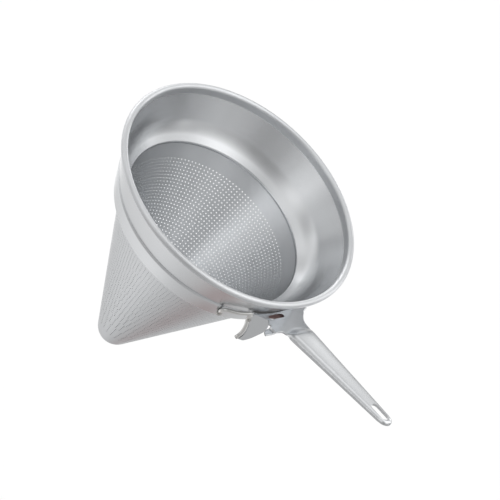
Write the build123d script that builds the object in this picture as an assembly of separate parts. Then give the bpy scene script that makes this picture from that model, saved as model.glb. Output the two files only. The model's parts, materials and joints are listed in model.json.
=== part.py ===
from build123d import *
from math import atan2, cos, degrees, radians, sin, tan
import os

# Chinois strainer. Millimetres and degrees. The Z axis is the axis of the cone, mouth up,
# Z = 0 is the middle of the rolled rim, and the handle points along +X.

# Rolled rim and its wire
rim_diameter = 200.0
bead_diameter = 5.0
rim_wire_diameter = 3.0
curl_end_angle = -62.0

# Sheet thicknesses and the play between lapped sheets
ring_sheet = 0.9
collar_sheet = 1.0
band_sheet = 1.0
cone_sheet = 0.8
handle_sheet = 1.8
lap_play = 0.1

# Collar: the upper outer band, from under the rim to the seam, and its skirt on the cone
collar_top_inset = 1.9
collar_top_drop = 2.9
seam_inset = 14.7
seam_drop = 29.0
skirt_knee_drop = 38.0
skirt_drop = 49.5

# Joint band: the proud lower band, with its edge turned in
band_ledge = 3.8
band_bottom_drop = 46.4
band_corner_radius = 3.0

# Cone
cone_apex_drop = 219.9
cone_seam_inset = 2.69
cone_tip_radius = 15.4
cone_top_drop = 34.0

# Perforation: zones down the cone, each with fewer columns than the one above. The real sheet has
# thousands of 1.5 mm holes, so a plain grid of square windows opens much the same share of it
hole_width = 7.8
zone_columns = (24, 22, 20, 18, 15, 12, 9, 6)
zone_rings = (1, 1, 1, 1, 1, 1, 1, 1)
first_ring_gap = 8.5
last_ring_rise = 45.9
hole_shrink_share = 0.5

# Splash ring: the inner flare with its overhanging lip
lip_inset = 26.6
lip_drop = 37.2
lip_length = 1.8
lip_bend_radius = 0.9
flare_foot_angle = 50.0
flare_knee_radius = 30.0

# Handle: a channel pressed from sheet, in its own sloping frame
handle_slope = 18.5
handle_seat_inset = 1.5
handle_seat_drop = 20.3
handle_length = 117.0
handle_root_width = 25.8
handle_tip_width = 12.0
handle_wall_depth = 2.2
nose_start = 8.5
nose_length = 12.0
crown_height = 3.4
crown_radius = 45.0
crown_edge_radius = 2.2
hang_slot_length = 18.0
hang_slot_width = 7.0
hang_slot_margin = 4.3
hang_slot_offset = 0.5

# Root plate of the handle, beside and behind the channel
flare_reach = 23.1
flare_setback = 6.9
ear_reach = 30.0
ear_length = 11.5
plate_slot_length = 15.5
plate_slot_width = 4.6
plate_slot_setback = 4.9
plate_slot_offset = 8.6

# Pan hook: the tongue turned down from the root plate
hook_turn = 32.0
hook_tilt = 12.0
hook_seat_setback = 6.5
hook_seat_offset = 21.0
hook_seat_drop = 21.0
hook_width = 13.1
hook_depth = 25.4
hook_inner_shares = ((-0.458, 0.0), (-0.634, 0.413), (-0.397, 0.654), (-0.16, 0.835), (0.122, 0.984))
hook_outer_shares = ((0.54, 0.0), (0.55, 0.24), (0.374, 0.445), (0.298, 0.673), (0.313, 0.823), (0.427, 0.996))

# Wire that edges the hook and runs back along the collar to its foot on the joint band
hook_wire_diameter = 3.0
wire_edge_play = 0.3
wire_wall_play = 0.15
wire_foot_offset = 41.8
wire_foot_drop = 38.0
wire_peak_offset = 46.7
wire_peak_drop = 27.5
wire_peak_play = 1.5
wire_bow_offset = 36.7
wire_bow_drop = 24.0
wire_bow_play = 2.2
wire_top_offset = 28.4
wire_top_drop = 20.6
wire_top_play = 0.8
bend_share = 0.45

# Weld beads
root_weld_radius = 1.6
root_weld_half_span = 17.0
foot_weld_radius = 2.2
edge_weld_radius = 1.5
edge_weld_shift = 0.9
edge_weld_lift = 0.3
root_line_steps = 12

overrun = 5.0

rim_radius = rim_diameter / 2
bead_radius = bead_diameter / 2
bead_centre = rim_radius - bead_radius
collar_top_radius = rim_radius - collar_top_inset
seam_radius = rim_radius - seam_inset
lip_radius = rim_radius - lip_inset
handle_seat_radius = rim_radius - handle_seat_inset
hook_seat_reach = handle_seat_radius - hook_seat_setback
collar_slope = degrees(atan2(collar_top_radius - seam_radius, seam_drop - collar_top_drop))
cone_half_angle = degrees(atan2(seam_radius - cone_seam_inset, cone_apex_drop - seam_drop))
first_ring_drop = skirt_drop + first_ring_gap
last_ring_drop = cone_apex_drop - last_ring_rise
hook_wire_radius = hook_wire_diameter / 2
nose_end = nose_start + nose_length
handle_plane = Plane(
    origin=(handle_seat_radius, 0, -handle_seat_drop),
    x_dir=(cos(radians(handle_slope)), 0, sin(radians(handle_slope))),
    z_dir=(-sin(radians(handle_slope)), 0, cos(radians(handle_slope))),
)
hook_plane = Plane(
    origin=(hook_seat_reach, -hook_seat_offset, -hook_seat_drop),
    x_dir=(-sin(radians(hook_turn)), -cos(radians(hook_turn)), 0),
    z_dir=(
        cos(radians(hook_turn)) * cos(radians(hook_tilt)),
        -sin(radians(hook_turn)) * cos(radians(hook_tilt)),
        sin(radians(hook_tilt)),
    ),
)


def across(thickness, slope):
    """Thickness of a sloping sheet measured along the radius."""
    return thickness / cos(radians(slope))


def collar_radius(drop):
    """Outer radius of the upper band at a depth below the rim plane."""
    return seam_radius + (seam_drop - drop) * tan(radians(collar_slope))


def cone_radius(drop):
    """Outer radius of the cone at a depth below the rim plane."""
    return (cone_apex_drop - drop) * tan(radians(cone_half_angle))


def band_foot():
    """Radius of the edge of the joint band, turned in on the skirt."""
    return cone_radius(band_bottom_drop - band_sheet) + across(collar_sheet + lap_play + lap_play, cone_half_angle)


def band_slope():
    """Slope of the joint band between the seam and its lower corner."""
    top = seam_radius + lap_play + across(band_sheet, collar_slope)
    return degrees(atan2(top - band_foot() - band_ledge, band_bottom_drop - seam_drop))


def band_radius(drop):
    """Outer radius of the joint band at a depth below the rim plane."""
    return band_foot() + band_ledge + (band_bottom_drop - drop) * tan(radians(band_slope()))


def section(points, radii):
    """Section face from radius and drop pairs, each corner rounded by its own radius."""
    face = make_face(Polyline(*[(r, -drop) for r, drop in points], close=True))
    for (r, drop), radius in zip(points, radii):
        if radius > 0:
            face = fillet(face.vertices().sort_by_distance((r, -drop, 0))[0], radius)
    return face


def revolved(face):
    """Full turn of a section face about the axis of the cone."""
    return revolve(Plane.XZ * face, Axis.Z)


def flare_corners(offset):
    """Corners of the splash ring below the rim, its inside face shifted outwards by offset."""
    upper = tan(radians(collar_slope))
    lower = tan(radians(flare_foot_angle))
    wall = across(collar_sheet + lap_play + ring_sheet, collar_slope)
    land = rim_radius - bead_diameter + offset
    lip = lip_radius + offset
    upper_base = seam_radius - wall + across(offset, collar_slope)
    lower_base = lip_radius + across(offset, flare_foot_angle)
    land_drop = seam_drop + (upper_base - land) / upper
    knee_drop = (lower_base + lip_drop * lower - upper_base - seam_drop * upper) / (lower - upper)
    knee = upper_base + (seam_drop - knee_drop) * upper
    lip_corner_drop = lip_drop + (lower_base - lip) / lower
    return (land, land_drop), (knee, knee_drop), (lip, lip_corner_drop)


def splash_ring():
    """Rolled rim, short upright land, conical flare and the lip that overhangs the cone."""
    inside = flare_corners(0)
    outside = flare_corners(ring_sheet)
    end_drop = lip_drop + lip_length
    points = [(inside[0][0], 0), *inside, (lip_radius, end_drop)]
    points += [(lip_radius + ring_sheet, end_drop), *reversed(outside), (outside[0][0], 0)]
    knee = flare_knee_radius
    bend = lip_bend_radius
    land = bead_radius
    radii = [0, land, knee + ring_sheet, bend, 0, 0, bend + ring_sheet, knee, land + ring_sheet, 0]
    tube = Circle(bead_radius) - Circle(bead_radius - ring_sheet)
    end = (bead_diameter * cos(radians(curl_end_angle)), bead_diameter * sin(radians(curl_end_angle)))
    gap = make_face(Polyline((0, 0), (-bead_diameter, 0), (-bead_diameter, -bead_diameter), end, close=True))
    return revolved(section(points, radii) + Pos(bead_centre, 0) * (tube - gap))


def rim_wire():
    """Reinforcing wire inside the rolled rim."""
    return Torus(bead_centre, rim_wire_diameter / 2)


def collar_band():
    """Upper outer band and the skirt below the seam, which laps over the cone."""
    wall = across(collar_sheet, collar_slope)
    lap = across(lap_play, cone_half_angle)
    skirt_wall = across(collar_sheet, cone_half_angle)
    top = collar_radius(collar_top_drop)
    knee = cone_radius(skirt_knee_drop) + lap
    foot = cone_radius(skirt_drop) + lap
    points = [(top, collar_top_drop), (seam_radius, seam_drop)]
    points += [(knee + skirt_wall, skirt_knee_drop), (foot + skirt_wall, skirt_drop)]
    points += [(foot, skirt_drop), (knee, skirt_knee_drop)]
    points += [(seam_radius - wall, seam_drop), (top - wall, collar_top_drop)]
    return revolved(section(points, [0] * len(points)))


def joint_band():
    """Proud lower band with its edge turned in on the skirt."""
    slope = tan(radians(band_slope()))
    top = band_radius(seam_drop)
    wall = across(band_sheet, band_slope())
    corner = band_radius(band_bottom_drop)
    inner_drop = band_bottom_drop - band_sheet
    inner = corner - wall + band_sheet * slope
    foot = band_foot()
    points = [(top, seam_drop), (corner, band_bottom_drop), (foot, band_bottom_drop)]
    points += [(foot, inner_drop), (inner, inner_drop), (top - wall, seam_drop)]
    radii = [0, band_corner_radius, 0, 0, band_corner_radius - band_sheet, 0]
    return revolved(section(points, radii))


def cone_body(inset):
    """Solid cone with a ball tip, its surface shifted inwards by inset."""
    slope = radians(cone_half_angle)
    tip_centre = cone_apex_drop - cone_tip_radius / sin(slope)
    ball = cone_tip_radius - inset
    middle_angle = radians(45) + slope / 2
    touch = (ball * cos(slope), -(tip_centre + ball * sin(slope)))
    middle = (ball * cos(middle_angle), -(tip_centre + ball * sin(middle_angle)))
    bottom = (0, -(tip_centre + ball))
    top = (cone_radius(cone_top_drop) - across(inset, cone_half_angle), -cone_top_drop)
    centre = (0, -cone_top_drop)
    tip = ThreePointArc(touch, middle, bottom)
    return revolved(make_face([Line(top, touch), tip, Line(bottom, centre), Line(centre, top)]))


def cone_holes():
    """Rings of square holes in rows and columns, cut straight through the wall, in zones."""
    drills = []
    columns = [count for count, rings in zip(zone_columns, zone_rings) for _ in range(rings)]
    step = (last_ring_drop - first_ring_drop) / (len(columns) - 1)
    for ring, count in enumerate(columns):
        drop = first_ring_drop + ring * step
        reach = cone_radius(drop)
        width = hole_width * (reach / cone_radius(first_ring_drop)) ** hole_shrink_share
        drill = Rot(0, 90 + cone_half_angle, 0) * Pos(0, 0, -overrun / 2)
        drill = drill * extrude(Rectangle(width, width), overrun)
        for column in range(count):
            drills.append(Rot(0, 0, 360 * column / count) * Pos(reach, 0, -drop) * drill)
    return drills


def strainer_cone():
    """Perforated cone, open at the top."""
    shell = cone_body(0) - cone_body(cone_sheet)
    return shell - cone_holes()


def half_width(along):
    """Half the width of the handle at a distance along it."""
    return (handle_root_width + (handle_tip_width - handle_root_width) * along / handle_length) / 2


def channel_block(inset, floor):
    """Solid in the shape of the handle's outside, shifted inwards by inset, down to floor."""
    end = handle_length - inset
    start_half = half_width(nose_start) - inset
    end_half = half_width(end) - inset
    corners = ((nose_start, -start_half), (end, -end_half), (end, end_half), (nose_start, start_half))
    plan = make_face(Polyline(*corners, close=True))
    plan = fillet(plan.vertices().group_by(Axis.X)[-1], end_half - lap_play)
    block = Pos(0, 0, -floor) * extrude(plan, floor + crown_height)
    drum = Rot(0, 90, 0) * Cylinder(crown_radius - inset, 2 * handle_length)
    block = block & (Pos(end, 0, crown_height - crown_radius) * drum)
    if crown_edge_radius > inset:
        edges = block.edges().filter_by(lambda e: e.center().Z > 0 and e.center().X > nose_end)
        block = fillet(edges, crown_edge_radius - inset)
    nose_angle = degrees(atan2(crown_height, nose_length))
    ramp = Box(handle_length, handle_length, handle_length, align=(Align.MAX, Align.CENTER, Align.MIN))
    top = Pos(nose_end, 0, crown_height) * Rot(0, -nose_angle, 0) * Pos(0, 0, -inset)
    return block - top * ramp


def slot(length, width, x, y, turn):
    """Cutter for a slot with round ends in the frame of the handle."""
    return Pos(x, y, -handle_length / 2) * extrude(SlotOverall(length, width, rotation=turn), handle_length)


def hook_edge(shares):
    """Points of one edge of the hook tongue from its shares of width and depth."""
    return [(out_share * hook_width, down_share * hook_depth) for out_share, down_share in shares]


def root_plate():
    """Flat root of the handle, flared on its right and drawn out to an ear on its left."""
    middle = -handle_sheet / 2
    near = handle_plane.to_local_coords((hook_plane * Pos(hook_edge(hook_inner_shares)[0][0], 0, middle)).position)
    far = handle_plane.to_local_coords((hook_plane * Pos(hook_edge(hook_outer_shares)[0][0], 0, middle)).position)
    back = -rim_radius / 4
    points = [
        (nose_end, half_width(nose_end)),
        (nose_start, half_width(nose_start)),
        (-flare_setback, flare_reach),
        (back, flare_reach),
        (back, far.Y),
        (far.X, far.Y),
        (near.X, near.Y),
        (ear_length, -ear_reach),
        (ear_length, -half_width(nose_start)),
        (nose_end, -half_width(nose_end)),
    ]
    plan = make_face(Polyline(*points, close=True))
    return Pos(0, 0, -handle_sheet) * extrude(plan, handle_sheet)


def hook_tongue():
    """Tongue of the pan hook, standing down from the root plate, in the frame of the part."""
    inner = hook_edge(hook_inner_shares)
    outer = hook_edge(hook_outer_shares)
    inner_top = (inner[0][0], -overrun)
    outer_top = (outer[0][0], -overrun)
    edges = [Line(outer_top, inner_top), Line(inner_top, inner[0]), Spline(*inner)]
    edges += [Line(inner[-1], outer[-1]), Spline(*outer), Line(outer[0], outer_top)]
    plan = make_face(edges)
    return hook_plane * (Pos(0, 0, -handle_sheet) * extrude(plan, handle_sheet))


def collar_plug(play):
    """Solid that fills the collar and a gap around it, for trimming what is welded to it."""
    reach = across(play, collar_slope)
    depth = 2 * seam_drop
    return Pos(0, 0, -seam_drop) * Cone(collar_radius(depth) + reach, collar_radius(0) + reach, depth)


def handle():
    """Handle channel, root plate and hook tongue, bent from one sheet."""
    hollow = channel_block(handle_sheet, handle_wall_depth + overrun)
    body = channel_block(0, handle_wall_depth) + root_plate() - hollow
    hang_reach = handle_length - hang_slot_margin - hang_slot_length / 2
    body = body - slot(hang_slot_length, hang_slot_width, hang_reach, -hang_slot_offset, 0)
    body = body - slot(plate_slot_length, plate_slot_width, -plate_slot_setback, -plate_slot_offset, 90)
    above = Box(handle_length, handle_length, handle_length, align=(Align.CENTER, Align.CENTER, Align.MIN))
    tongue = hook_tongue() - handle_plane * above
    sheet = (handle_plane * body + tongue) - collar_plug(lap_play)
    return sheet - hook_wire(hook_wire_radius + lap_play)


def hook_wire_points():
    """Centre line of the hook wire, from its foot on the joint band to the tip of the hook."""
    stand = across(hook_wire_radius + wire_wall_play, collar_slope)
    foot = band_radius(wire_foot_drop) + across(hook_wire_radius + wire_wall_play, band_slope())
    stops = [(wire_foot_offset, foot, wire_foot_drop)]
    stops += [(wire_peak_offset, collar_radius(wire_peak_drop) + stand + wire_peak_play, wire_peak_drop)]
    stops += [(wire_bow_offset, collar_radius(wire_bow_drop) + stand + wire_bow_play, wire_bow_drop)]
    stops += [(wire_top_offset, collar_radius(wire_top_drop) + stand + wire_top_play, wire_top_drop)]
    points = []
    for offset, reach, drop in stops:
        points.append(Vector((reach ** 2 - offset ** 2) ** 0.5, -offset, -drop))
    side = hook_wire_radius + wire_edge_play
    for out, down in hook_edge(hook_outer_shares)[1:]:
        points.append((hook_plane * Pos(out + side, down, -handle_sheet / 2)).position)
    return points


def bend_radii(points):
    """Largest bend at each inner point of a route that leaves a straight stretch beside it."""
    radii = []
    for before, corner, after in zip(points, points[1:], points[2:]):
        run_in = corner - before
        run_out = after - corner
        half_turn = radians(run_in.get_angle(run_out)) / 2
        radii.append(bend_share * min(run_in.length, run_out.length) / tan(half_turn))
    return radii


def hook_wire(radius):
    """Round bar along the edge of the hook, back along the collar and down to the band."""
    points = hook_wire_points()
    path = FilletPolyline(*points, radius=bend_radii(points))
    return sweep(Plane(path @ 0, z_dir=path % 0) * Circle(radius), path=path)


def root_line(across_y):
    """Point where the underside of the root plate meets the collar, at a distance off centre."""
    drop = handle_seat_drop
    for _ in range(root_line_steps):
        reach = (collar_radius(drop) ** 2 - across_y ** 2) ** 0.5
        drop = handle_seat_drop + (handle_seat_radius - reach) * tan(radians(handle_slope))
        drop = drop + handle_sheet / cos(radians(handle_slope))
    return Vector(reach, across_y, -drop)


def weld_root(sheet):
    """Weld bead between the underside of the root plate and the collar."""
    path = Spline(root_line(-root_weld_half_span), root_line(0), root_line(root_weld_half_span))
    bead = sweep(Plane(path @ 0, z_dir=path % 0) * Circle(root_weld_radius), path=path)
    return bead - collar_plug(0) - sheet


def weld_wire_foot(band, wire):
    """Weld bead between the foot of the hook wire and the joint band."""
    start = hook_wire_points()[0]
    upwards = (hook_wire_points()[1] - start).normalized()
    bead = Plane(start + upwards * foot_weld_radius, z_dir=upwards) * Sphere(foot_weld_radius)
    return bead - band - wire


def weld_wire_hook(sheet, wire):
    """Weld bead between the hook wire and the outer edge of the tongue."""
    out, down = hook_edge(hook_outer_shares)[1]
    bead = hook_plane * Pos(out + edge_weld_shift, down, edge_weld_lift) * Sphere(edge_weld_radius)
    return bead - sheet - wire


if __name__ == "__main__":
    os.makedirs("parts", exist_ok=True)
    joint = joint_band()
    root = handle()
    wire = hook_wire(hook_wire_radius)
    export_step(splash_ring(), "parts/splash_ring.step")
    export_step(rim_wire(), "parts/rim_wire.step")
    export_step(collar_band(), "parts/collar_band.step")
    export_step(joint, "parts/joint_band.step")
    export_step(strainer_cone(), "parts/strainer_cone.step")
    export_step(root, "parts/handle.step")
    export_step(wire, "parts/pan_hook_wire.step")
    export_step(weld_root(root), "parts/weld_root.step")
    export_step(weld_wire_foot(joint, wire), "parts/weld_wire_foot.step")
    export_step(weld_wire_hook(root, wire), "parts/weld_wire_hook.step")
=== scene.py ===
"""Looks of a chinois strainer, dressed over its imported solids. Metres, mouth up along +Z."""

import json
import logging
import math
from dataclasses import dataclass
from enum import Enum
from typing import Any, Callable, Iterable, Sequence

import bmesh
import bpy
from bmesh.types import BMEdge, BMesh, BMFace, BMVert
from bpy.types import Material, Mesh, Node, NodeSocket, NodeTree, Object
from mathutils import Matrix, Vector
from mathutils.geometry import delaunay_2d_cdt

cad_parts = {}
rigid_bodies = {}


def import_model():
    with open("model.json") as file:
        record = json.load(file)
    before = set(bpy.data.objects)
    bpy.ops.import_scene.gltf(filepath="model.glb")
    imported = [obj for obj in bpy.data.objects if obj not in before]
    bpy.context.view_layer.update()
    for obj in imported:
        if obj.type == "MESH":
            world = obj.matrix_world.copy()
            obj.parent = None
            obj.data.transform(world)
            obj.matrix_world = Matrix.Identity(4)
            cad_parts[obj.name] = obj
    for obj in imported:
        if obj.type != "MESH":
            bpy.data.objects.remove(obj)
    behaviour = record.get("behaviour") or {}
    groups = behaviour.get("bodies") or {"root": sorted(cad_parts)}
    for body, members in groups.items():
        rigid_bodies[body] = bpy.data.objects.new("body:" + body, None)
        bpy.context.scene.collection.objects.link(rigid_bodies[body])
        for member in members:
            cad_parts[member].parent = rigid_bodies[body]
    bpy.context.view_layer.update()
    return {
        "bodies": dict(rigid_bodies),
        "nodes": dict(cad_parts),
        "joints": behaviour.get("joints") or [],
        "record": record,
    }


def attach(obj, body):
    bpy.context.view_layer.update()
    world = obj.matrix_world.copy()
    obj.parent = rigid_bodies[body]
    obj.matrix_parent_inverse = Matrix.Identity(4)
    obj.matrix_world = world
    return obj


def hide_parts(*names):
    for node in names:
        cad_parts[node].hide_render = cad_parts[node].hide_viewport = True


LOG = logging.getLogger("chinois")
MM = 0.001
BODY = "root"
# Degrees that one segment of a fillet turns.
BEND_STEP = 4.0
# How far to either side of a point, in millimetres, its nearest edge is looked for.
EDGE_REACH = 4.0
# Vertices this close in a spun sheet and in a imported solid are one.
SPUN_MERGE = 0.002 * MM
SOLID_MERGE = 0.001 * MM

Spot = tuple[float, float]
Loop = Sequence[Spot]
Triple = tuple[float, float, float]
Four = tuple[float, float, float, float]
Settings = dict[Any, Any] | None


class Grain(Enum):
    """Which way the fine lines of a brushed or spun sheet run."""

    AROUND = "around"
    ALONG = "along"
    NONE = "none"


# ---- shader helpers


def both_ways(operation: str) -> tuple[Callable[..., "Term"], Callable[..., "Term"]]:
    """A Math operation as an operator of terms.

    Args:
        operation: The name of the operation.

    Returns:
        The operator's method and its reflected form.
    """
    return (
        lambda self, other: self.math(operation, self, other),
        lambda self, other: self.math(operation, other, self),
    )


class Term:
    """A number on a node socket that can be used in Python expressions."""

    def __init__(self, sheet: "Sheet", socket: NodeSocket) -> None:
        """Keeps an output socket and the node sheet that it belongs to."""
        self.sheet = sheet
        self.socket = socket

    def math(self, operation: str, *values: Any) -> "Term":
        """Adds a Math node.

        Args:
            operation: The name of the operation, such as MULTIPLY.
            values: Its inputs, terms or plain numbers.

        Returns:
            The result as a term.
        """
        inputs = dict(enumerate(values))
        made = self.sheet.node("ShaderNodeMath", {"operation": operation}, inputs)
        return Term(self.sheet, made.outputs[0])

    __add__, __radd__ = both_ways("ADD")
    __sub__, __rsub__ = both_ways("SUBTRACT")
    __mul__, __rmul__ = both_ways("MULTIPLY")
    __truediv__, __rtruediv__ = both_ways("DIVIDE")
    __pow__, __rpow__ = both_ways("POWER")

    def exp(self) -> "Term":
        """The number e to the power of the value."""
        return self.math("EXPONENT", self)

    def clamped(self) -> "Term":
        """The value held between 0 and 1."""
        return self.math("MINIMUM", self.math("MAXIMUM", self, 0.0), 1.0)


class Sheet:
    """A node sheet of one material or world, filled node by node."""

    def __init__(self, tree: NodeTree) -> None:
        """Empties the node tree and keeps it."""
        self.tree = tree
        tree.nodes.clear()

    def node(self, kind: str, settings: Settings = None, inputs: Settings = None) -> Node:
        """Adds a node, sets its settings and then the values or links of its sockets.

        Args:
            kind: The node's type name.
            settings: Attributes to set.
            inputs: Socket name or index to a number, colour, term or socket.

        Returns:
            The new node.
        """
        made = self.tree.nodes.new(kind)
        for key, value in (settings or {}).items():
            setattr(made, key, value)
        for key, value in (inputs or {}).items():
            socket = made.inputs[key]
            if isinstance(value, Term):
                self.tree.links.new(value.socket, socket)
            elif isinstance(value, NodeSocket):
                self.tree.links.new(value, socket)
            else:
                socket.default_value = value
        return made

    def noise(self, where: Any, scale: float, detail: float, roughness: float) -> Term:
        """Adds a Noise Texture.

        Args:
            where: The socket of its coordinates.
            scale: Its scale.
            detail: Its octaves.
            roughness: How strong the finer octaves are.

        Returns:
            The noise, from 0 to 1.
        """
        inputs = {"Vector": where, "Scale": scale, "Detail": detail, "Roughness": roughness}
        made = self.node("ShaderNodeTexNoise", {"noise_dimensions": "3D"}, inputs)
        return Term(self, made.outputs[0])

    def axes(self, where: NodeSocket) -> list[Term]:
        """The three parts of the vector on a socket."""
        made = self.node("ShaderNodeSeparateXYZ", None, {"Vector": where})
        return [Term(self, made.outputs[name]) for name in "XYZ"]


# ---- finishes


@dataclass(frozen=True)
class SteelFinish:
    """Stainless sheet or wire: colour, gloss, grain and the marks of handling."""

    title: str
    slot: str
    colour: Triple = (0.71, 0.723, 0.738)
    dark_share: float = 0.88
    smudge_size: float = 26 * MM
    specks_per_smudge: float = 6.0
    smudge_share: float = 0.55
    speck_share: float = 0.2
    roughness: float = 0.3
    roughness_swing: float = 0.08
    line_gloss: float = 0.6
    middle_gloss: float = 0.8
    anisotropy: float = 0.0
    quarter_turn: float = 0.25
    grain: Grain = Grain.NONE
    grain_pitch: float = 0.35 * MM
    grain_depth: float = 0.004 * MM
    grain_share: float = 0.35
    grain_stretch: float = 0.02
    turn_pitch: float = 1.6
    wall_share: float = 0.9
    metallic: float = 1.0
    rim_roughness: float = 0.0
    rim_level: float = -5.4 * MM
    rim_blend: float = 0.8 * MM

    def material(self) -> Material:
        """Makes the material.

        Returns:
            The new material.
        """
        made = bpy.data.materials.new(self.title)
        made.use_nodes = True
        sheet = Sheet(made.node_tree)
        place = sheet.node("ShaderNodeTexCoord").outputs["Object"]
        lines = self.lines(sheet, place)
        smudge = sheet.noise(place, 1 / self.smudge_size, 4.0, 0.6)
        speck = sheet.noise(place, self.specks_per_smudge / self.smudge_size, 3.0, 0.7)
        shade = self.smudge_share * smudge + self.speck_share * speck + self.grain_share * lines
        dark = tuple(channel * self.dark_share for channel in self.colour)
        mixed = {"Factor": shade.clamped(), "A": (*dark, 1.0), "B": (*self.colour, 1.0)}
        colour = sheet.node("ShaderNodeMix", {"data_type": "RGBA"}, mixed)
        swing = smudge + self.line_gloss * lines - self.middle_gloss
        gloss = self.roughness + self.roughness_swing * swing
        if self.rim_roughness:
            level = sheet.axes(place)[2]
            above = ((level - self.rim_level) / self.rim_blend).clamped()
            gloss = gloss + self.rim_roughness * above
        relief = {"Strength": 1.0, "Distance": 1.0, "Height": lines * self.grain_depth}
        bump = sheet.node("ShaderNodeBump", None, relief)
        steel = {
            "Base Color": colour.outputs["Result"],
            "Metallic": self.metallic,
            "Roughness": gloss,
            "Anisotropic": self.anisotropy,
            "Anisotropic Rotation": self.quarter_turn,
            "Normal": bump.outputs["Normal"],
        }
        surface = sheet.node("ShaderNodeBsdfPrincipled", None, steel)
        sheet.node("ShaderNodeOutputMaterial", None, {"Surface": surface.outputs["BSDF"]})
        return made

    def lines(self, sheet: Sheet, place: NodeSocket) -> Term:
        """Fine brushed lines along the grain.

        Args:
            sheet: The node sheet.
            place: The object coordinates.

        Returns:
            A value from 0 to 1 that varies across the grain.
        """
        x, y, z = sheet.axes(place)
        if self.grain is Grain.AROUND:
            across = (x * x + y * y) ** 0.5 + z * self.wall_share
            turn = x.math("ARCTAN2", y, x)
            parts = {"X": across / self.grain_pitch, "Y": turn * self.turn_pitch}
        else:
            stretch = self.grain_stretch if self.grain is Grain.ALONG else 1.0
            pitches = (self.grain_pitch / stretch, self.grain_pitch, self.grain_pitch)
            parts = {name: axis / pitch for name, axis, pitch in zip("XYZ", (x, y, z), pitches)}
        where = sheet.node("ShaderNodeCombineXYZ", None, parts)
        return sheet.noise(where.outputs[0], 1.0, 3.0, 0.65)


@dataclass(frozen=True)
class Finishes:
    """The finishes of the whole strainer."""

    cone: SteelFinish = SteelFinish(
        "perforated_steel_sheet", "perforated_steel", anisotropy=0.75, grain=Grain.AROUND
    )
    ring: SteelFinish = SteelFinish(
        "spun_steel_sheet", "satin_steel",
        roughness=0.23, anisotropy=0.8, grain=Grain.AROUND, rim_roughness=0.18,
    )
    outside: SteelFinish = SteelFinish(
        "satin_steel_sheet", "satin_steel", roughness=0.24, anisotropy=0.7, grain=Grain.AROUND
    )
    handle: SteelFinish = SteelFinish(
        "pressed_steel_sheet", "handle_steel",
        roughness=0.24, grain=Grain.ALONG, grain_pitch=0.25 * MM,
    )
    wire: SteelFinish = SteelFinish(
        "drawn_steel_wire", "wire_steel", colour=(0.72, 0.715, 0.70), roughness=0.18
    )
    weld: SteelFinish = SteelFinish(
        "brushed_weld", "weld_steel", colour=(0.5, 0.49, 0.47), roughness=0.45
    )
    tint: SteelFinish = SteelFinish(
        "heat_tinted_weld", "weld_steel", colour=(0.22, 0.13, 0.12), roughness=0.5, metallic=0.7
    )
    # Near-black bead on top of the plate–collar joint: painted shade of the gap between the root
    # plate and the collar.
    seam_shade: SteelFinish = SteelFinish(
        "painted_shade_steel", "weld_steel", colour=(0.15, 0.145, 0.14), roughness=0.5, metallic=0.7
    )


# ---- mesh helpers


def meshed(name: str, bm: BMesh) -> Mesh:
    """Writes a bmesh to a new mesh and frees it.

    Args:
        name: The mesh's name.
        bm: The bmesh.

    Returns:
        The mesh.
    """
    mesh = bpy.data.meshes.new(name)
    bm.to_mesh(mesh)
    bm.free()
    return mesh


def linked(name: str, data: bpy.types.ID) -> Object:
    """Puts a new object in the scene.

    Args:
        name: The object's name.
        data: Its mesh or camera.

    Returns:
        The object.
    """
    made = bpy.data.objects.new(name, data)
    bpy.context.scene.collection.objects.link(made)
    return made


@dataclass
class Piece:
    """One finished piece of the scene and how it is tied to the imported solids."""

    name: str
    finish: SteelFinish
    stands_for: tuple[str, ...] = ()
    sharp_angle: float = math.radians(35)

    def walled(self, bm: BMesh, thickness: float, even: bool = True) -> Object:
        """Gives an open sheet its thickness behind its faces and finishes it.

        Args:
            bm: The open sheet, which is freed.
            thickness: In millimetres.
            even: Whether sharp bends keep their full thickness.

        Returns:
            The new object.
        """
        raw = meshed(self.name + "_raw", bm)
        holder = linked(self.name + "_raw", raw)
        wall = holder.modifiers.new("wall", "SOLIDIFY")
        wall.thickness = thickness * MM
        wall.offset = -1.0
        wall.use_even_offset = even
        bpy.context.view_layer.update()
        depsgraph = bpy.context.evaluated_depsgraph_get()
        solid = bpy.data.meshes.new_from_object(holder.evaluated_get(depsgraph))
        solid.name = self.name
        bpy.data.objects.remove(holder)
        bpy.data.meshes.remove(raw)
        return self.placed(solid)

    def taken_over(self, solid: Object) -> Object:
        """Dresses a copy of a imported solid, with its loose triangles joined.

        Args:
            solid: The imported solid.

        Returns:
            The new object.
        """
        mesh = solid.data.copy()
        mesh.name = self.name
        bm = bmesh.new()
        bm.from_mesh(mesh)
        bmesh.ops.remove_doubles(bm, verts=bm.verts[:], dist=SOLID_MERGE)
        bmesh.ops.dissolve_degenerate(bm, edges=bm.edges[:], dist=SOLID_MERGE)
        bm.to_mesh(mesh)
        bm.free()
        return self.placed(mesh)

    def placed(self, mesh: Mesh) -> Object:
        """Dresses a mesh, shades it smooth and ties it to the body.

        Args:
            mesh: The mesh of the piece.

        Returns:
            The new object.
        """
        mesh.materials.clear()
        mesh.materials.append(self.finish.material())
        mesh.shade_smooth()
        mesh.set_sharp_from_angle(angle=self.sharp_angle)
        made = linked(self.name, mesh)
        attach(made, BODY)
        if self.stands_for:
            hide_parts(*self.stands_for)
        return made


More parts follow.
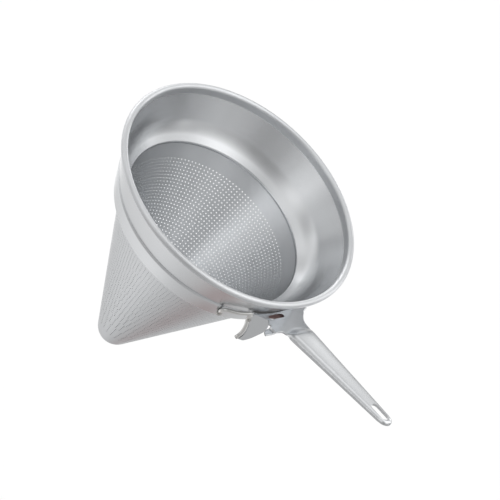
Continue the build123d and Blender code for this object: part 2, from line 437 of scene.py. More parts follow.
def open_line(bm: BMesh, points: Loop, radii: Sequence[float]) -> BMVert:
    """A line of vertices in the XZ plane, each corner rounded by a bevel.

    Args:
        bm: The mesh to add to.
        points: Radius and height pairs, in millimetres.
        radii: Fillet radius for each inner corner, in millimetres.

    Returns:
        The last vertex of the line.
    """
    verts = [bm.verts.new((r * MM, 0.0, z * MM)) for r, z in points]
    for first, second in zip(verts, verts[1:]):
        bm.edges.new((first, second))
    bends = []
    for before, corner, after, radius in zip(verts, verts[1:], verts[2:], radii):
        turn = (corner.co - before.co).angle(after.co - corner.co)
        bends.append((corner, radius * MM * math.tan(turn / 2), turn))
    for corner, size, turn in bends:
        bmesh.ops.bevel(
            bm, geom=[corner], offset=size, offset_type="OFFSET", affect="VERTICES",
            segments=max(3, round(math.degrees(turn) / BEND_STEP)), profile=0.5, material=-1,
        )
    return verts[-1]


def full_turn(bm: BMesh, steps: int) -> None:
    """Spins everything in the mesh once about the axis of the strainer and closes the seam.

    Args:
        bm: The mesh with its section line.
        steps: How many steps make the full turn.
    """
    bmesh.ops.spin(
        bm, geom=bm.verts[:] + bm.edges[:], cent=(0, 0, 0), axis=(0, 0, 1), angle=math.tau,
        steps=steps, use_merge=True, use_duplicate=False,
    )
    bmesh.ops.remove_doubles(bm, verts=bm.verts[:], dist=SPUN_MERGE)


def face_the(bm: BMesh, outwards: bool) -> None:
    """Makes all faces of an open sheet point away from the axis, or towards it.

    Args:
        bm: The mesh of one connected sheet.
        outwards: Whether the faces should point away from the axis.
    """
    bmesh.ops.recalc_face_normals(bm, faces=bm.faces[:])
    total = 0.0
    for face in bm.faces:
        centre = face.calc_center_median()
        total += face.normal.dot(Vector((centre.x, centre.y, 0))) * face.calc_area()
    if (total > 0) != outwards:
        bmesh.ops.reverse_faces(bm, faces=bm.faces[:])


def ramp(value: float, start: float, end: float) -> float:
    """How far a value lies from start to end, held between 0 and 1."""
    return max(0.0, min(1.0, (value - start) / (end - start)))


def rounded(points: Loop, step: float) -> list[Spot]:
    """A smooth curve through points, sampled at an even step.

    Args:
        points: The points in order.
        step: Rough distance between samples.

    Returns:
        The samples.
    """
    last = len(points) - 1
    samples = []
    for index in range(last):
        around = [points[min(max(index + shift, 0), last)] for shift in (-1, 0, 1, 2)]
        before, first, second, after = (Vector(point) for point in around)
        pieces = max(1, round((second - first).length / step))
        for piece in range(pieces):
            t = piece / pieces
            lead = (second - before) * 0.5
            tail = (after - first) * 0.5
            spot = first * (2 * t**3 - 3 * t**2 + 1) + lead * (t**3 - 2 * t**2 + t)
            spot += second * (3 * t**2 - 2 * t**3) + tail * (t**3 - t**2)
            samples.append((spot.x, spot.y))
    samples.append(tuple(points[-1]))
    return samples


def edge_distance(spot: Sequence[float], loop: Loop) -> float:
    """Shortest distance from a point to a closed loop in the plane.

    Args:
        spot: The point.
        loop: The loop's points in order.

    Returns:
        The distance.
    """
    x, y = spot[0], spot[1]
    best = math.inf
    for (ax, ay), (bx, by) in zip(loop, [*loop[1:], loop[0]]):
        if min(ax, bx) - EDGE_REACH > x or max(ax, bx) + EDGE_REACH < x:
            continue
        dx, dy = bx - ax, by - ay
        share = ((x - ax) * dx + (y - ay) * dy) / max(dx * dx + dy * dy, 1e-12)
        share = max(0.0, min(1.0, share))
        best = min(best, (ax + dx * share - x) ** 2 + (ay + dy * share - y) ** 2)
    return math.sqrt(best)


def within(spot: Spot, loop: Loop) -> bool:
    """Whether a point lies inside a closed loop.

    Args:
        spot: The point.
        loop: The loop's points in order.

    Returns:
        True inside.
    """
    x, y = spot
    odd = False
    for (ax, ay), (bx, by) in zip(loop, [*loop[1:], loop[0]]):
        if (ay > y) != (by > y) and x < (bx - ax) * (y - ay) / (by - ay) + ax:
            odd = not odd
    return odd


def filled(bm: BMesh, loops: Sequence[Loop], inner: Loop) -> None:
    """Fills a flat outline with holes, using extra points inside it, facing up.

    Args:
        bm: The mesh to add to.
        loops: The outline first, then the holes.
        inner: Points inside the outline and outside the holes.
    """
    spots, edges = [], []
    for loop in loops:
        start, count = len(spots), len(loop)
        spots += [Vector(spot) for spot in loop]
        edges += [(start + index, start + (index + 1) % count) for index in range(count)]
    spots += [Vector(spot) for spot in inner]
    flat, _, faces, *_ = delaunay_2d_cdt(spots, edges, [], 1, 1e-4)
    verts = [bm.verts.new((spot.x, spot.y, 0)) for spot in flat]
    for face in faces:
        middle = tuple(sum((flat[index] for index in face), Vector((0, 0))) / len(face))
        if within(middle, loops[0]) and not any(within(middle, hole) for hole in loops[1:]):
            bm.faces.new([verts[index] for index in face])
    loose = [vert for vert in verts if not vert.link_faces]
    bmesh.ops.delete(bm, geom=loose, context="VERTS")
    bmesh.ops.recalc_face_normals(bm, faces=bm.faces[:])
    if sum(face.normal.z for face in bm.faces) < 0:
        bmesh.ops.reverse_faces(bm, faces=bm.faces[:])


def bead(name: str, finish: SteelFinish, rings: Iterable[Sequence[Vector]]) -> Object:
    """Joins rings of points into one closed bead at the root plate: its weld, or the dark seam of
    painted shade.

    Args:
        name: Its name.
        finish: Its finish.
        rings: The rings in order, each with as many points, in millimetres.

    Returns:
        The finished bead.
    """
    bm = bmesh.new()
    rows = [[bm.verts.new(point * MM) for point in ring] for ring in rings]
    count = len(rows[0])
    for first, second in zip(rows, rows[1:]):
        for index in range(count):
            after = (index + 1) % count
            bm.faces.new((first[index], first[after], second[after], second[index]))
    bm.faces.new(rows[0])
    bm.faces.new(list(reversed(rows[-1])))
    bmesh.ops.recalc_face_normals(bm, faces=bm.faces[:])
    return Piece(name, finish, ("weld_root",), math.radians(50)).placed(meshed(name, bm))


# ---- the strainer


@dataclass
class SplashRing:
    """Rolled rim, upright land, flare and lip, spun from one sheet."""

    finish: SteelFinish
    rim_radius: float = 100.0
    bead_radius: float = 2.5
    sheet: float = 0.9
    curl_end: float = -62.0
    curl_steps: int = 36
    land_foot: Spot = (95.0, -4.93)
    knee: Spot = (83.05, -29.29)
    lip: Spot = (73.4, -37.2)
    lip_end: float = -39.0
    knee_radius: float = 30.0
    lip_radius: float = 1.8
    land_radius: float = 2.5
    steps: int = 288

    def build(self) -> list[Object]:
        """Spins the section line and gives it its thickness.

        Returns:
            The finished ring, alone in a list.
        """
        bm = bmesh.new()
        centre = self.rim_radius - self.bead_radius
        top = (centre - self.bead_radius, 0.0)
        points = [(self.lip[0], self.lip_end), self.lip, self.knee, self.land_foot, top]
        last = open_line(bm, points, (self.lip_radius, self.knee_radius, self.land_radius))
        bmesh.ops.spin(
            bm, geom=[last], cent=(centre * MM, 0, 0), axis=(0, 1, 0),
            angle=math.radians(180 - self.curl_end), steps=self.curl_steps,
        )
        full_turn(bm, self.steps)
        face_the(bm, outwards=False)
        piece = Piece("splash_ring_sheet", self.finish, ("splash_ring",))
        return [piece.walled(bm, self.sheet)]


@dataclass
class RimWire:
    """The wire inside the rolled rim."""

    finish: SteelFinish
    centre: float = 97.5
    radius: float = 1.5
    sides: int = 24
    steps: int = 192

    def build(self) -> list[Object]:
        """Spins a circle.

        Returns:
            The finished wire, alone in a list.
        """
        bm = bmesh.new()
        upright = Matrix.Rotation(math.radians(90), 4, "X")
        place = Matrix.Translation((self.centre * MM, 0, 0)) @ upright
        size, sides = self.radius * MM, self.sides
        bmesh.ops.create_circle(bm, cap_ends=False, radius=size, segments=sides, matrix=place)
        full_turn(bm, self.steps)
        bmesh.ops.recalc_face_normals(bm, faces=bm.faces[:])
        piece = Piece("rim_wire_bar", self.finish, ("rim_wire",))
        return [piece.placed(meshed(piece.name, bm))]


@dataclass
class Bands:
    """The upper outer band with its skirt, and the proud joint band below it."""

    finish: SteelFinish
    collar: Loop = ((98.1, -2.9), (85.3, -29.0), (79.88, -38.0), (74.9, -49.5))
    collar_radii: tuple[float, ...] = (0.6, 1.5)
    joint: Loop = ((85.85, -28.0), (86.35, -29.6), (80.2, -46.4), (76.2, -46.4))
    joint_radii: tuple[float, ...] = (1.0, 3.0)
    sheet: float = 1.0
    steps: int = 288

    def build(self) -> list[Object]:
        """Spins both bands.

        Returns:
            The finished bands.
        """
        made = []
        plans = (
            ("collar_sheet", "collar_band", self.collar, self.collar_radii),
            ("joint_band_sheet", "joint_band", self.joint, self.joint_radii),
        )
        for name, node, points, radii in plans:
            bm = bmesh.new()
            open_line(bm, points, radii)
            full_turn(bm, self.steps)
            face_the(bm, outwards=True)
            made.append(Piece(name, self.finish, (node,)).walled(bm, self.sheet))
        return made


@dataclass
class PerforatedCone:
    """The perforated cone with its rows, columns and zones of holes, and its ball tip."""

    finish: SteelFinish
    half_angle: float = math.radians(23.4)
    apex: float = 219.9
    sheet: float = 0.8
    top: float = 34.0
    ball_radius: float = 15.4
    first_row: float = 54.8
    row_pitch: float = 2.688
    columns: tuple[int, ...] = (142, 126, 110, 94, 78, 62, 46, 30)
    rows: tuple[int, ...] = (7, 8, 5, 5, 5, 5, 5, 6)
    hole_radius: float = 0.55
    hole_step: float = 45.0
    cell_share: float = 0.46
    cell_inset: float = 0.0005
    cell_merge: float = 0.003
    level_play: float = 0.01
    plain_steps: int = 160
    tip_steps: int = 48
    tip_rings: int = 12

    def radius(self, drop: float) -> float:
        """Outer radius at a depth below the rim, in millimetres."""
        return (self.apex - drop) * math.tan(self.half_angle)

    def punched(self, bm: BMesh, cell: BMFace, drop: float) -> None:
        """Cuts a hole of eight sides in one cell, still laid flat as turn and drop.

        Args:
            bm: The mesh.
            cell: The four-sided cell.
            drop: Drop of the middle of the hole.
        """
        outer = set(cell.verts)
        inset = self.cell_inset
        bmesh.ops.inset_individual(bm, faces=[cell], thickness=inset, use_even_offset=True)
        cut = bmesh.ops.subdivide_edges(bm, edges=list(cell.edges), cuts=1, use_grid_fill=False)
        ring = {item for item in cut["geom_inner"] if isinstance(item, BMVert)}
        ring |= set(cell.verts) - outer
        reach = self.radius(drop)
        middle = sum((vert.co for vert in ring), Vector()) / len(ring)
        turns = [(math.atan2(v.co.y - middle.y, (v.co.x - middle.x) * reach), v) for v in ring]
        turns.sort(key=lambda pair: pair[0])
        first = round(math.degrees(turns[0][0]) / self.hole_step)
        for index, (_, vert) in enumerate(turns):
            angle = math.radians(self.hole_step) * (first + index)
            across = self.hole_radius * math.cos(angle) / reach
            down = self.hole_radius * math.sin(angle) * math.cos(self.half_angle)
            vert.co = Vector((across, drop + down, 0))
        bmesh.ops.delete(bm, geom=[cell], context="FACES_ONLY")

    def zone(self, count: int, start: float, rows: int) -> Mesh:
        """One zone of holes all round the cone, spun from one column of cells.

        Args:
            count: Columns in this zone.
            start: Drop of the first row.
            rows: How many rows.

        Returns:
            The mesh of the zone.
        """
        bm = bmesh.new()
        rungs, cells = [], []
        joints = [row + 0.5 for row in range(rows - 1)]
        for at in (-self.cell_share, *joints, rows - 1 + self.cell_share):
            drop = start + at * self.row_pitch
            rungs.append([bm.verts.new((side * math.pi / count, drop, 0)) for side in (-1, 1)])
        for upper, lower in zip(rungs, rungs[1:]):
            cells.append(bm.faces.new((*upper, lower[1], lower[0])))
        for index, cell in enumerate(cells):
            self.punched(bm, cell, start + index * self.row_pitch)
        for vert in bm.verts:
            turn, drop = vert.co.x, vert.co.y
            reach = self.radius(drop)
            vert.co = Vector((reach * math.cos(turn), reach * math.sin(turn), -drop)) * MM
        bmesh.ops.spin(
            bm, geom=bm.verts[:] + bm.edges[:] + bm.faces[:], cent=(0, 0, 0), axis=(0, 0, 1),
            angle=math.tau * (count - 1) / count, steps=count - 1, use_duplicate=True,
        )
        bmesh.ops.remove_doubles(bm, verts=bm.verts[:], dist=self.cell_merge * MM)
        return meshed("zone", bm)

    def level_loop(self, bm: BMesh, drop: float) -> list[BMEdge]:
        """The edges that lie level at a depth below the rim, in millimetres."""
        play = self.level_play * MM
        return [e for e in bm.edges if all(abs(v.co.z + drop * MM) < play for v in e.verts)]

    def plain_loop(self, bm: BMesh, reach: float, drop: float, steps: int) -> list[BMEdge]:
        """A plain loop of edges round the axis.

        Args:
            bm: The mesh to add to.
            reach: Radius in millimetres.
            drop: Depth below the rim in millimetres.
            steps: Edges in the loop.

        Returns:
            The edges.
        """
        size, place = reach * MM, Matrix.Translation((0, 0, -drop * MM))
        bmesh.ops.create_circle(bm, cap_ends=False, radius=size, segments=steps, matrix=place)
        return self.level_loop(bm, drop)

    def build(self) -> list[Object]:
        """Builds the zones, bridges them, adds the plain top and the tip, and thickens all.

        Returns:
            The finished cone, alone in a list.
        """
        bm = bmesh.new()
        self.plain_loop(bm, self.radius(self.top), self.top, self.plain_steps)
        above, row = self.top, 0
        for count, rows in zip(self.columns, self.rows):
            start = self.first_row + row * self.row_pitch
            mesh = self.zone(count, start, rows)
            bm.from_mesh(mesh)
            bpy.data.meshes.remove(mesh)
            upper = self.level_loop(bm, start - self.cell_share * self.row_pitch)
            bmesh.ops.bridge_loops(bm, edges=self.level_loop(bm, above) + upper)
            row += rows
            above = self.first_row + (row - 1 + self.cell_share) * self.row_pitch
        self.tip(bm, self.level_loop(bm, above))
        LOG.info("holes: %d", sum(c * r for c, r in zip(self.columns, self.rows)))
        face_the(bm, outwards=True)
        piece = Piece("perforated_cone_sheet", self.finish, ("strainer_cone",))
        return [piece.walled(bm, self.sheet)]

    def tip(self, bm: BMesh, above: list[BMEdge]) -> None:
        """Closes the cone with its ball tip.

        Args:
            bm: The mesh to add to.
            above: The lowest loop of the zones.
        """
        centre = self.apex - self.ball_radius / math.sin(self.half_angle)
        sweep = math.pi / 2 - self.half_angle
        for step in range(self.tip_rings):
            lean = self.half_angle + sweep * step / self.tip_rings
            drop = centre + self.ball_radius * math.sin(lean)
            loop = self.plain_loop(bm, self.ball_radius * math.cos(lean), drop, self.tip_steps)
            bmesh.ops.bridge_loops(bm, edges=above + loop)
            above = loop
        bottom = bm.verts.new((0, 0, -(centre + self.ball_radius) * MM))
        for edge in above:
            bm.faces.new((*edge.verts, bottom))


@dataclass(frozen=True)
class CollarWall:
    """The collar's outside, a cone, in millimetres."""

    radius: float = 85.3
    drop: float = 29.0
    lean: float = 0.4904

    def reach(self, drop: float) -> float:
        """Radius of the wall at a depth below the rim."""
        return self.radius + (self.drop - drop) * self.lean


@dataclass(frozen=True)
class HandlePlane:
    """The plane that the handle's sheet is pressed in, in millimetres."""

    seat: Triple = (98.5, 0.0, -20.3)
    slope: float = math.radians(18.5)
    sheet: float = 1.8

    def place(self) -> Matrix:
        """From millimetres in the plane to metres in the part's frame."""
        turn = Matrix.Rotation(-self.slope, 4, "Y")
        return Matrix.Translation(Vector(self.seat) * MM) @ turn @ Matrix.Scale(MM, 4)

    def level(self, x: float) -> float:
        """Height of the plane at a distance from the strainer's axis."""
        return self.seat[2] + (x - self.seat[0]) * math.tan(self.slope)


@dataclass
class Pressing:
    """The handle pressed from one sheet: root plate with flare and ear, nose, crowned channel."""

    finish: SteelFinish
    plane: HandlePlane = HandlePlane()
    wall: CollarWall = CollarWall()
    wall_gap: float = 0.15
    length: float = 115.4
    root_width: float = 25.8
    tip_width: float = 11.2
    tip_drop: float = 2.4
    crown: float = 3.4
    crown_radius: float = 45.0
    crown_reach: float = 20.0
    crown_end: float = 20.0
    edge_radius: float = 4.0
    edge_depth: float = 1.9
    plate_edge_radius: float = 0.45
    wall_foot: float = -2.2
    wall_start: float = 13.0
    wall_fade: Spot = (12.0, 20.0)
    nose: Spot = (8.5, 18.0)
    nose_bow: float = 0.022
    slot: Four = (95.5, 112.3, -0.5, 3.0)
    plate_slot: Four = (-6.1, -14.1, 0.7, 2.1)
    plate_span: Spot = (29.5, -26.5)
    plate_steps: int = 28
    flare: Loop = (
        (12.0, 12.2), (8.5, 12.5), (4.9, 13.3), (1.8, 15.0),
        (-1.2, 17.6), (-5.0, 21.6), (-8.0, 25.7), (-10.4, 30.0),
    )
    corner: Loop = ((-12.2, -27.6), (-10.6, -27.0), (-4.6, -17.2))
    ear: Loop = (
        (-4.0, -16.5), (-2.6, -17.9), (-0.9, -19.2), (0.4, -18.7), (1.6, -18.9), (2.5, -20.3),
        (2.9, -23.2), (4.0, -26.2), (5.7, -28.7), (7.6, -29.7), (8.6, -29.2), (8.8, -27.6),
        (8.7, -25.5), (9.1, -21.4), (9.6, -16.6), (10.2, -13.9), (12.5, -12.9),
    )
    channel_start: float = 16.0
    channel_step: float = 1.5
    channel_steps: int = 63
    step: float = 1.4
    insets: tuple[float, ...] = (0.12, 0.35, 0.75, 1.3, 2.1, 3.1)

    def half(self, along: float) -> float:
        """Half the channel's width at a distance along it, in millimetres."""
        return (self.root_width + (self.tip_width - self.root_width) * along / self.length) / 2

    def collar_edge(self) -> list[Spot]:
        """Follows the back edge of the root plate along the collar.

        Returns:
            The points in order.
        """
        cos, sin = math.cos(self.plane.slope), math.sin(self.plane.slope)
        first, last = self.plate_span
        points = []
        for index in range(self.plate_steps + 1):
            y = first + (last - first) * index / self.plate_steps
            x = self.corner[0][0]
            for _ in range(8):
                reach = self.wall.reach(-self.plane.seat[2] - x * sin) + self.wall_gap
                x = (math.sqrt(reach * reach - y * y) - self.plane.seat[0]) / cos
            points.append((x, y))
        return points

    def outline(self) -> list[Spot]:
        """Goes round the flattened sheet in the handle's plane.

        Returns:
            The points in order, anticlockwise.
        """
        radius = self.tip_width / 2
        turns = [math.radians(angle) for angle in range(-88, 89, 8)]
        end = self.length - radius
        tip = [(end + radius * math.cos(t), radius * math.sin(t)) for t in turns]
        places = [self.channel_start + self.channel_step * i for i in range(self.channel_steps)]
        left = [(x, -self.half(x)) for x in places]
        right = [(x, self.half(x)) for x in reversed(places)]
        flare, ear = rounded(self.flare, 0.8), rounded(self.ear, 0.6)
        return [*left, *tip, *right, *flare, *self.collar_edge(), *self.corner, *ear]

    def pill(self, start: Spot, end: Spot, radius: float) -> list[Spot]:
        """Outline of a slot with round ends.

        Args:
            start: Its one end.
            end: Its other end.
            radius: Half its width.

        Returns:
            The points in order.
        """
        head, tail = Vector(start), Vector(end)
        way = (tail - head).normalized()
        head, tail = head + way * radius, tail - way * radius
        side = Vector((-way.y, way.x))
        points = []
        for centre, sign in ((tail, 1), (head, -1)):
            for turn in (math.radians(angle) for angle in range(-90, 91, 15)):
                spot = centre + sign * radius * (way * math.cos(turn) + side * math.sin(turn))
                points.append((spot.x, spot.y))
        return points

    def height(self, x: float, y: float, edge: float) -> float:
        """Height of the outside of the sheet over the handle's plane.

        Args:
            x: Along the handle.
            y: Across it.
            edge: Distance to the sheet's outline.

        Returns:
            The height in millimetres.
        """
        start, end = self.nose
        rise = ramp(x, start + self.nose_bow * y * y, end)
        rise = rise * rise * (3 - 2 * rise)
        crown = self.crown - self.tip_drop * ramp(x, self.crown_end, self.length)
        across = min(y * y, self.crown_reach**2)
        arc = crown - self.crown_radius + math.sqrt(self.crown_radius**2 - across)
        full = min(self.edge_radius, arc + self.edge_depth)
        radius = self.plate_edge_radius + (full - self.plate_edge_radius) * rise
        inset = max(0.0, radius - edge)
        fall = radius - math.sqrt(max(radius * radius - inset * inset, 0.0))
        return arc * rise - fall

    def build(self) -> Object:
        """Fills the outline, raises the crown, turns the walls down and thickens the sheet.

        Returns:
            The finished pressing.
        """
        outline = self.outline()
        x0, x1, y, radius = self.slot
        hang = self.pill((x0, y), (x1, y), radius)
        x, y0, y1, across = self.plate_slot
        window = self.pill((x, y0), (x, y1), across)
        inner = [(-16 + self.step * i, -31 + self.step * j) for i in range(96) for j in range(44)]
        for inset in self.insets:
            inner += self.offset(outline, inset)
        inner = [spot for spot in inner if self.inside(spot, outline, hang, window)]
        bm = bmesh.new()
        filled(bm, (outline, hang, window), inner)
        for vert in bm.verts:
            vert.co.z = self.height(vert.co.x, vert.co.y, edge_distance(vert.co, outline))
        self.turn_down(bm, outline)
        bmesh.ops.transform(bm, matrix=self.plane.place(), verts=bm.verts[:])
        piece = Piece("handle_pressing", self.finish, ("handle",), math.radians(40))
        return piece.walled(bm, self.plane.sheet, even=False)

    def turn_down(self, bm: BMesh, outline: Loop) -> None:
        """Turns the channel's walls down from its edge.

        Args:
            bm: The mesh of the sheet.
            outline: Its outline.
        """
        rim = []
        for edge in (edge for edge in bm.edges if edge.is_boundary):
            spots = [vert.co for vert in edge.verts]
            if all(s.x > self.wall_start and edge_distance(s, outline) < 0.01 for s in spots):
                rim.append(edge)
        walls = bmesh.ops.extrude_edge_only(bm, edges=rim)
        for item in walls["geom"]:
            if isinstance(item, BMVert):
                deep = ramp(item.co.x, *self.wall_fade)
                item.co.z += (self.wall_foot - item.co.z) * deep

    def offset(self, loop: Loop, inset: float) -> list[Spot]:
        """Points a little inside a loop.

        Args:
            loop: The loop's points in order, anticlockwise.
            inset: How far inside.

        Returns:
            The shifted points.
        """
        made = []
        for before, (x, y), after in zip([loop[-1], *loop], loop, [*loop[1:], loop[0]]):
            way = Vector(after) - Vector(before)
            if way.length > 0:
                way.normalize()
                made.append((x - way.y * inset, y + way.x * inset))
        return made

    def inside(self, spot: Spot, outline: Loop, *holes: Loop) -> bool:
        """Whether a point may be used to fill the sheet.

        Args:
            spot: The point.
            outline: The sheet's outline.
            holes: The outlines of its holes.

        Returns:
            True if it lies in the sheet and clear of all edges.
        """
        if not within(spot, outline) or edge_distance(spot, outline) < 0.1:
            return False
        return all(not within(spot, hole) and edge_distance(spot, hole) > 0.3 for hole in holes)


@dataclass
class Tongue:
    """The tongue of the pan hook, bent down from the root plate."""

    finish: SteelFinish
    seat: Triple = (92.0, -21.0, -21.0)
    turn: float = math.radians(32)
    tilt: float = math.radians(12)
    sheet: float = 1.8
    step: float = 1.5
    edge: Loop = (
        (7.1, 0.2), (7.2, 3.1), (7.2, 6.1), (4.9, 11.3), (3.9, 17.1), (4.1, 20.9), (5.6, 25.3),
    )
    back: Loop = ((1.6, 25.0), (-2.1, 21.2), (-5.2, 16.6), (-8.3, 10.5), (-7.7, 4.5), (-6.6, 0.8))

    def build(self) -> Object:
        """Fills the outline and thickens it.

        Returns:
            The finished tongue.
        """
        curved = [*rounded(self.edge, 0.8), *rounded(self.back, 0.8)]
        bm = bmesh.new()
        grid = [(x * self.step, y * self.step) for x in range(-6, 6) for y in range(18)]
        inner = [at for at in grid if within(at, curved) and edge_distance(at, curved) > 0.5]
        filled(bm, (curved,), inner)
        side = Vector((-math.sin(self.turn), -math.cos(self.turn), 0))
        out = Vector((math.cos(self.turn), -math.sin(self.turn), 0)) * math.cos(self.tilt)
        out.z = math.sin(self.tilt)
        frame = Matrix((side, out.cross(side), out)).transposed().to_4x4()
        place = Matrix.Translation(Vector(self.seat) * MM) @ frame @ Matrix.Scale(MM, 4)
        bmesh.ops.transform(bm, matrix=place, verts=bm.verts[:])
        piece = Piece("hook_tongue", self.finish, (), math.radians(40))
        return piece.walled(bm, self.sheet, even=False)


@dataclass
class RootWeldAndShade:
    """The root plate's weld fillet below it, and the dark seam above it whose colour is painted
    shade of the gap between plate and collar.
    """

    plane: HandlePlane = HandlePlane()
    wall: CollarWall = CollarWall()
    bite: float = 0.15
    span: float = 17.0
    out_leg: float = 8.4
    down_leg: float = 4.4
    seam_span: Spot = (-24.0, -1.0)
    seam_radius: float = 0.95
    seam_rise: float = 0.6
    seam_sides: int = 10
    steps: int = 30

    def section(self, y: float) -> list[Vector]:
        """Section of the fillet at a distance off centre.

        Args:
            y: The distance in millimetres.

        Returns:
            Its corners in millimetres, the inner one first.
        """
        under = self.plane.sheet / math.cos(self.plane.slope)
        x = 88.0
        for _ in range(10):
            drop = under - self.plane.level(x)
            x = math.sqrt(self.wall.reach(drop) ** 2 - y * y)
        taper = math.sqrt(max(0.05, 1 - (y / self.span) ** 2 * 0.9))
        out = Vector((x, y, 0)).normalized()
        corner = Vector((x, y, -drop)) - out * self.bite
        far = corner + out * self.out_leg * taper
        far.z = self.plane.level(far.x) - under
        low = corner - out * self.wall.lean * self.down_leg * taper
        low.z -= self.down_leg * taper
        pull = corner * 0.5 + (far + low) * 0.25
        points = [corner]
        for t in (step / 6 for step in range(7)):
            points.append(far * (1 - t) ** 2 + pull * 2 * t * (1 - t) + low * t * t)
        return points

    def fillet(self, finish: SteelFinish) -> Object:
        """The fillet under the root plate, along the collar, in the finish given."""
        spans = [self.span * (2 * step / self.steps - 1) for step in range(self.steps + 1)]
        return bead("weld_root_fillet", finish, (self.section(y) for y in spans))

    def seam(self, finish: SteelFinish) -> Object:
        """The thin dark bead where the root plate's top meets the collar, painted shade of the gap
        there.

        Args:
            finish: Its finish.

        Returns:
            The finished bead.
        """
        start, end = self.seam_span
        rise = self.plane.sheet / math.cos(self.plane.slope) + self.seam_rise
        rings = []
        for share in (step / self.steps for step in range(self.steps + 1)):
            low = self.section(start + (end - start) * share)[0]
            out = Vector((low.x, low.y, 0)).normalized()
            middle = low + out * self.wall.lean * rise + Vector((0, 0, rise))
            thick = self.seam_radius * math.sqrt(max(0.02, 1 - (2 * share - 1) ** 4))
            turns = [math.tau * index / self.seam_sides for index in range(self.seam_sides)]
            ways = [out * math.cos(turn) + Vector((0, 0, math.sin(turn))) for turn in turns]
            rings.append([middle + way * thick for way in ways])
        return bead("root_seam_painted_shade", finish, rings)


@dataclass
class Handle:
    """The pressed handle with its tongue, the hook's wire, the weld beads and the seam of painted
    shade.
    """

    finishes: Finishes
    solids: dict[str, Object]
    sharp_angle: float = math.radians(28)

    def build(self) -> list[Object]:
        """Builds the sheet pieces and takes over the wire and its beads.

        Returns:
            The finished pieces.
        """
        looks = self.finishes
        weld_and_shade = RootWeldAndShade()
        made = [
            Pressing(looks.handle).build(),
            Tongue(looks.handle).build(),
            weld_and_shade.fillet(looks.tint),
            # Dark seam: painted shade of the gap where the plate meets the collar.
            weld_and_shade.seam(looks.seam_shade),
        ]
        plans = (
            ("hook_wire_bar", "pan_hook_wire", looks.wire),
            ("weld_wire_foot_bead", "weld_wire_foot", looks.weld),
            ("weld_wire_hook_bead", "weld_wire_hook", looks.weld),
        )
        for name, node, finish in plans:
            piece = Piece(name, finish, (node,), self.sharp_angle)
            made.append(piece.taken_over(self.solids[node]))
        return made


# ---- the studio


@dataclass(frozen=True)
class GlowRing:
    """A ring of wide soft lights round the room, all at one height."""

    lift: float
    start: float
    focus: float
    powers: tuple[float, ...]

    def lights(self) -> list[tuple[Vector, float]]:
        """Places the lights.

        Returns:
            Direction and power of each light that is lit.
        """
        made = []
        for index, power in enumerate(self.powers):
            turn = math.radians(self.start + 360 * index / len(self.powers))
            lift = math.radians(self.lift)
            flat = Vector((math.cos(turn), math.sin(turn), 0)) * math.cos(lift)
            if power > 0:
                made.append((flat + Vector((0, 0, math.sin(lift))), power))
        return made


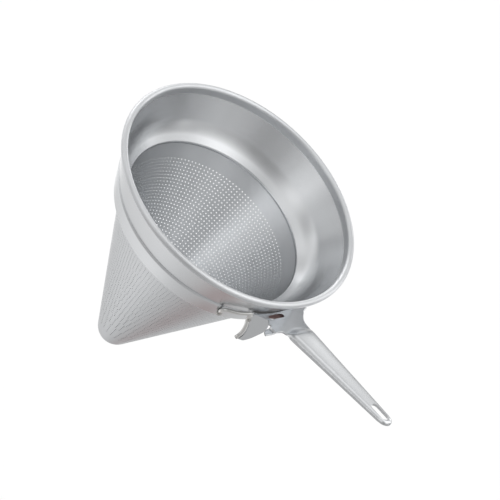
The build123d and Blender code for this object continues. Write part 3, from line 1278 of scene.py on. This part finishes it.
@dataclass
class Studio:
    """Camera, pale floor and soft light.

    A pool is a painted pool of light and a painted reflection is a red-brown patch, both in
    the floor's glow that only the steel sees as it mirrors the floor. Each has its place,
    its spread and its power.
    """

    eye: Triple = (0.56810090639, -1.11935784685, 1.00714242468)
    right: Triple = (0.46112527, 0.7084489, 0.53428798)
    up: Triple = (-0.82376254, 0.11797972, 0.55452327)
    focal: float = 158.4
    sensor: float = 36.0
    clip: Spot = (0.05, 60.0)
    room_level: float = 0.274
    glows: tuple[GlowRing, ...] = (
        GlowRing(12, 0, 80.0, (
            0.38, 0.303, 0.611, 0, 0, 1.792, 0.108, 2.943, 0, 1.698, 3.0, 3.0,
            1.098, 0.813, 1.057, 0.657, 0.385, 0.548, 0.468, 0.422, 0.262, 0.144, 0.265, 0.344,
        )),
        GlowRing(33, 15, 22.0, (
            0.154, 0.03, 1.262, 0, 0.612, 0, 0.409, 0.08, 0.762, 0, 0, 0.081,
        )),
        GlowRing(58, 0, 14.0, (0.967, 1.453, 0, 0.819, 0.326, 0.078)),
        GlowRing(88, 0, 14.0, (0.862,)),
    )
    floor_glow: float = 0.469
    pools: tuple[Four, ...] = (
        (-0.3, 0.27, 0.07, 0.9), (-0.18, -0.12, 0.07, 0.136), (-0.08, -0.17, 0.07, 0.283),
        (0.03, -0.16, 0.07, 0.475), (0.12, -0.08, 0.07, 0.066), (-0.15, 0.2, 0.07, 0.118),
        (-0.4, -0.29, 0.22, 0.408), (0.6, 1.04, 0.5, 0.9), (-1.2, 0.0, 0.5, 0.9),
        (-0.6, -1.04, 0.5, 0.063),
    )
    # Red-brown patches of the floor's glow that only glossy rays see: painted reflections in the
    # steel.
    painted_reflections: tuple[Four, ...] = ((0.15, 0.07, 0.05, 0.9), (-0.07, -0.47, 0.08, 0.6))
    painted_reflection_colour: Triple = (0.42, 0.17, 0.15)
    floor_colour: Triple = (0.86, 0.86, 0.86)
    seen_level: float = 1.03
    glow_share: float = 0.85
    floor_drop: float = 0.42
    floor_size: float = 14.0
    floor_cells: int = 8

    def camera(self) -> None:
        """Sets the camera at the photograph's place."""
        data = bpy.data.cameras.new("camera")
        data.lens = self.focal
        data.sensor_width = self.sensor
        data.sensor_fit = "HORIZONTAL"
        data.clip_start, data.clip_end = self.clip
        made = linked("camera", data)
        side, top = Vector(self.right), Vector(self.up)
        turn = Matrix((side, top, side.cross(top))).transposed().to_4x4()
        made.matrix_world = Matrix.Translation(self.eye) @ turn
        bpy.context.scene.camera = made

    def mounds(self, x: Term, y: Term, rows: Iterable[Four], base: float) -> Term:
        """Sum of soft round mounds over the floor.

        Args:
            x: The place across the floor.
            y: The place along the floor.
            rows: Place, spread and power of each mound.
            base: What they are added to.

        Returns:
            The sum.
        """
        total: Any = base
        for at_x, at_y, spread, power in rows:
            away = ((x - at_x) ** 2.0 + (y - at_y) ** 2.0) * (-0.5 / spread**2)
            total = total + power * away.exp()
        return total

    def floor_material(self) -> Material:
        """Pale to the camera; to the steel that mirrors it, its pools of light and painted
        reflections.

        Returns:
            The new material.
        """
        made = bpy.data.materials.new("pale_floor")
        made.use_nodes = True
        sheet = Sheet(made.node_tree)
        path = sheet.node("ShaderNodeLightPath")
        seen = Term(sheet, path.outputs["Is Camera Ray"])
        mirrored = Term(sheet, path.outputs["Is Glossy Ray"])
        x, y, _ = sheet.axes(sheet.node("ShaderNodeTexCoord").outputs["Object"])
        pool = self.mounds(x, y, self.pools, self.floor_glow)
        # Painted reflection: red-brown patches that only the steel sees in the floor.
        painted_tint = self.mounds(x, y, self.painted_reflections, 0.0)
        level = seen * self.seen_level + mirrored * pool
        white, brown = (1.0, 1.0, 1.0, 1.0), (*self.painted_reflection_colour, 1.0)
        mixed = {"Factor": (painted_tint * mirrored).clamped(), "A": white, "B": brown}
        tint = sheet.node("ShaderNodeMix", {"data_type": "RGBA"}, mixed)
        paint = sheet.node("ShaderNodeBsdfDiffuse", None, {"Color": (*self.floor_colour, 1.0)})
        shine = {"Color": tint.outputs["Result"], "Strength": level}
        glow = sheet.node("ShaderNodeEmission", None, shine)
        share = seen.math("MAXIMUM", seen, mirrored) * self.glow_share
        both = {0: share, 1: paint.outputs[0], 2: glow.outputs[0]}
        surface = sheet.node("ShaderNodeMixShader", None, both)
        sheet.node("ShaderNodeOutputMaterial", None, {"Surface": surface.outputs[0]})
        return made

    def floor(self) -> None:
        """Lays the pale floor."""
        bm = bmesh.new()
        cells, place = self.floor_cells, Matrix.Translation((0, 0, -self.floor_drop))
        size = self.floor_size
        bmesh.ops.create_grid(bm, x_segments=cells, y_segments=cells, size=size, matrix=place)
        mesh = meshed("floor", bm)
        mesh.materials.append(self.floor_material())
        linked("floor", mesh)

    def world(self) -> None:
        """Surrounds all with a soft pale room: a plain level and some wide soft lights."""
        world = bpy.data.worlds.new("room")
        bpy.context.scene.world = world
        world.use_nodes = True
        sheet = Sheet(world.node_tree)
        where = sheet.node("ShaderNodeTexCoord").outputs["Generated"]
        level: Any = self.room_level
        for ring in self.glows:
            for toward, power in ring.lights():
                both, dot = {0: where, 1: toward}, {"operation": "DOT_PRODUCT"}
                facing = Term(sheet, sheet.node("ShaderNodeVectorMath", dot, both).outputs["Value"])
                level = level + power * ((facing - 1.0) * ring.focus).exp()
        light = sheet.node("ShaderNodeBackground", None, {"Color": level, "Strength": 1.0})
        sheet.node("ShaderNodeOutputWorld", None, {"Surface": light.outputs[0]})

    def build(self) -> None:
        """Sets up the whole studio."""
        self.camera()
        self.floor()
        self.world()
        bpy.context.scene.view_settings.view_transform = "Standard"


def main() -> None:
    """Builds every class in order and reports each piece."""
    logging.basicConfig(level=logging.INFO, format="%(name)s %(message)s")
    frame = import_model()
    looks = Finishes()
    parts = (
        SplashRing(looks.ring), RimWire(looks.wire), Bands(looks.outside),
        PerforatedCone(looks.cone), Handle(looks, frame["nodes"]),
    )
    for part in parts:
        for piece in part.build():
            LOG.info("%s: %d faces", piece.name, len(piece.data.polygons))
    Studio().build()


if __name__ == "__main__":
    main()
